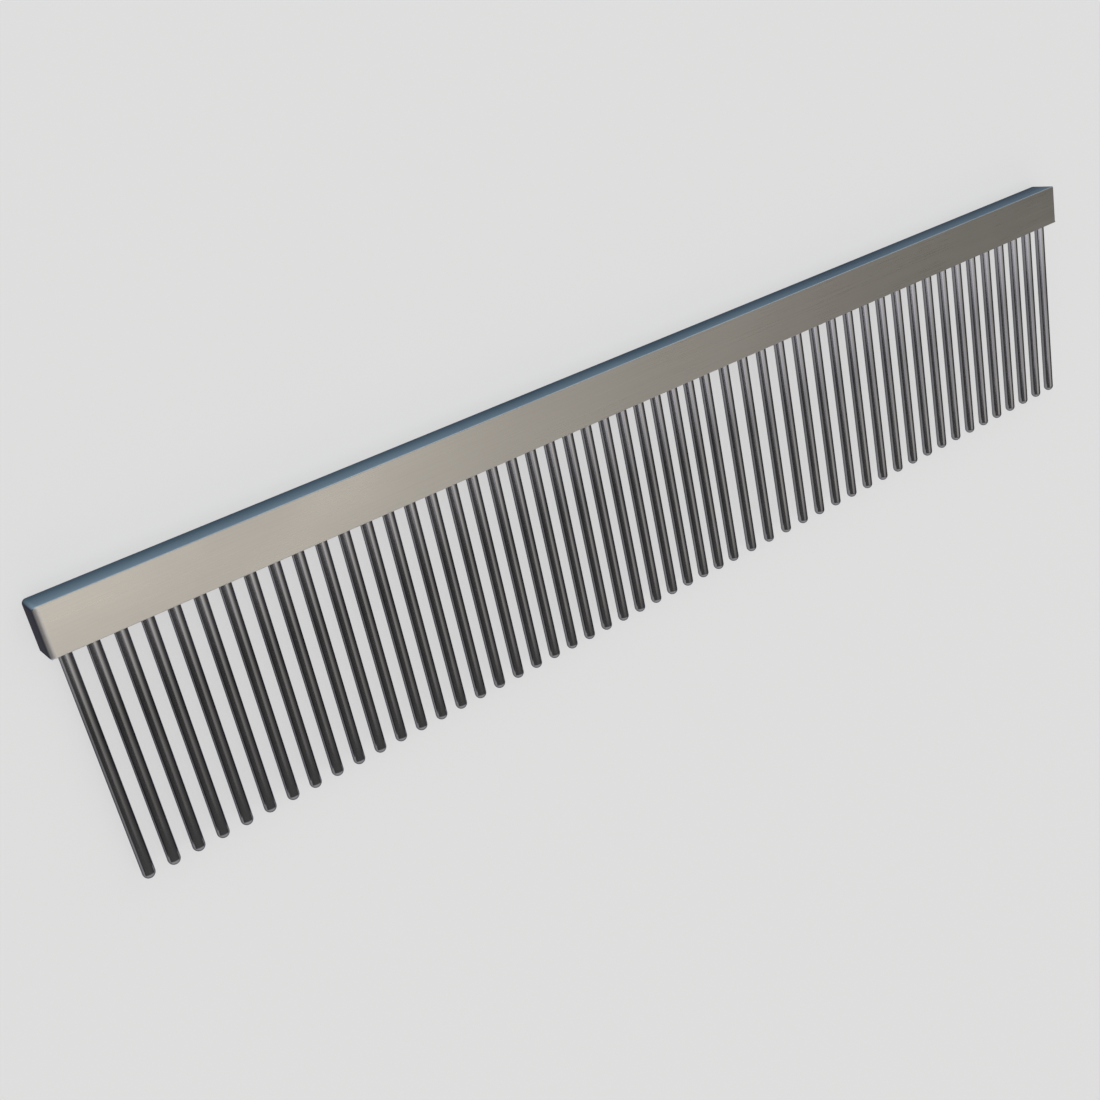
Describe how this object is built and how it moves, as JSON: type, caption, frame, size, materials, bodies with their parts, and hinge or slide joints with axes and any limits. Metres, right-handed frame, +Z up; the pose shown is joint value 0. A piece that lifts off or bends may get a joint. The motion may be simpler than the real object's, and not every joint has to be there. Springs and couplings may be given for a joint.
{
  "type": "grooming comb",
  "caption": "Straight steel grooming comb: a solid rectangular spine with round domed teeth, closely spaced along one run and wider apart along the rest.",
  "frame": {"origin": "centre of the overall footprint, on the resting plane (the flat back of the spine)", "axes": "+X along the spine from the fine teeth to the coarse teeth; +Y from the tooth tips to the top edge of the spine; +Z up, out of the front face of the spine"},
  "size_m": [0.187, 0.0378, 0.0047],
  "materials": {
    "spine_steel": "satin, brushed along the length",
    "tooth_steel": "smooth drawn pin, semi-polished"
  },
  "bodies": {
    "root": {"spine": "spine_steel", "fine_tooth_01": "tooth_steel", "fine_tooth_02": "tooth_steel", "fine_tooth_03": "tooth_steel", "fine_tooth_04": "tooth_steel", "fine_tooth_05": "tooth_steel", "fine_tooth_06": "tooth_steel", "fine_tooth_07": "tooth_steel", "fine_tooth_08": "tooth_steel", "fine_tooth_09": "tooth_steel", "fine_tooth_10": "tooth_steel", "fine_tooth_11": "tooth_steel", "fine_tooth_12": "tooth_steel", "fine_tooth_13": "tooth_steel", "fine_tooth_14": "tooth_steel", "fine_tooth_15": "tooth_steel", "fine_tooth_16": "tooth_steel", "fine_tooth_17": "tooth_steel", "fine_tooth_18": "tooth_steel", "fine_tooth_19": "tooth_steel", "fine_tooth_20": "tooth_steel", "fine_tooth_21": "tooth_steel", "fine_tooth_22": "tooth_steel", "fine_tooth_23": "tooth_steel", "fine_tooth_24": "tooth_steel", "fine_tooth_25": "tooth_steel", "fine_tooth_26": "tooth_steel", "fine_tooth_27": "tooth_steel", "fine_tooth_28": "tooth_steel", "fine_tooth_29": "tooth_steel", "fine_tooth_30": "tooth_steel", "fine_tooth_31": "tooth_steel", "coarse_tooth_01": "tooth_steel", "coarse_tooth_02": "tooth_steel", "coarse_tooth_03": "tooth_steel", "coarse_tooth_04": "tooth_steel", "coarse_tooth_05": "tooth_steel", "coarse_tooth_06": "tooth_steel", "coarse_tooth_07": "tooth_steel", "coarse_tooth_08": "tooth_steel", "coarse_tooth_09": "tooth_steel", "coarse_tooth_10": "tooth_steel", "coarse_tooth_11": "tooth_steel", "coarse_tooth_12": "tooth_steel", "coarse_tooth_13": "tooth_steel", "coarse_tooth_14": "tooth_steel", "coarse_tooth_15": "tooth_steel", "coarse_tooth_16": "tooth_steel", "coarse_tooth_17": "tooth_steel", "coarse_tooth_18": "tooth_steel", "coarse_tooth_19": "tooth_steel", "coarse_tooth_20": "tooth_steel", "coarse_tooth_21": "tooth_steel"}
  },
  "joints": []
}
